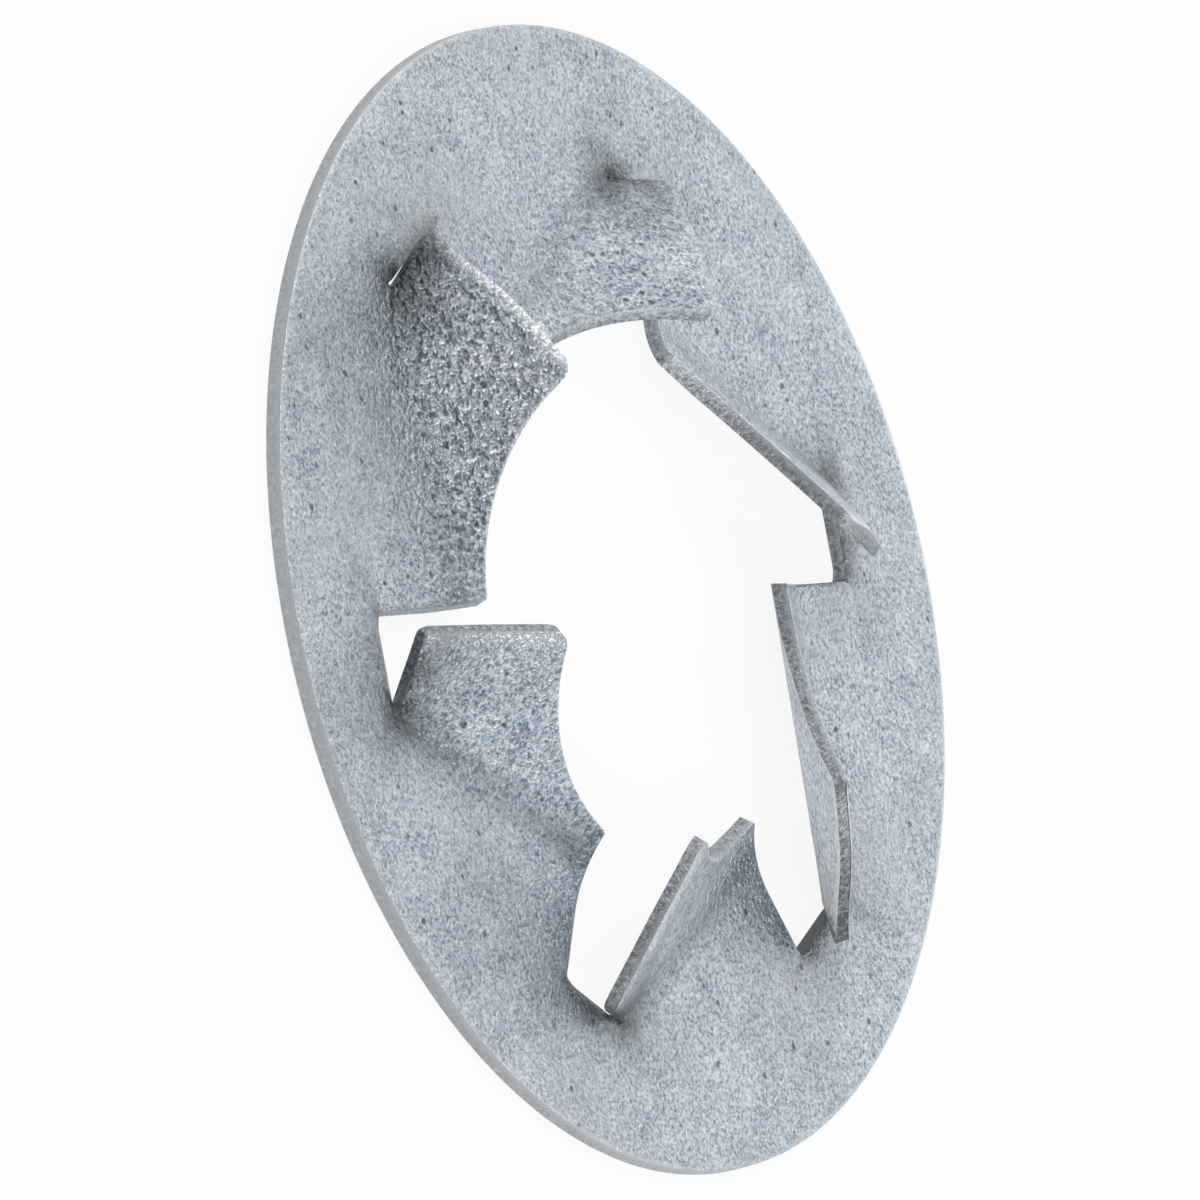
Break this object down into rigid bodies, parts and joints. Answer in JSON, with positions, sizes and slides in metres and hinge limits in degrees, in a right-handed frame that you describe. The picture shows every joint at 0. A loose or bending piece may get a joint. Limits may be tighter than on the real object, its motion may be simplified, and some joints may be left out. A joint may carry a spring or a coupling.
{
  "type": "push-on nut",
  "caption": "Thin spring steel disc with a flat rim and lanced tines folded up round the hole, pushed over a plain stud to lock on it.",
  "frame": {"origin": "on the axis of the stud hole, in the plane of the flat underside of the rim", "axes": "+Z along the hole axis, up the raised tines, the way the stud comes through; +X along the cut on the low side of one tine"},
  "size_m": [0.019, 0.019, 0.0021],
  "materials": {
    "zinc_plated_steel": "matt zinc plating over hardened spring steel, fine grain, dark specks in the folds"
  },
  "bodies": {
    "root": {"push_on_nut": "zinc_plated_steel"}
  },
  "joints": []
}
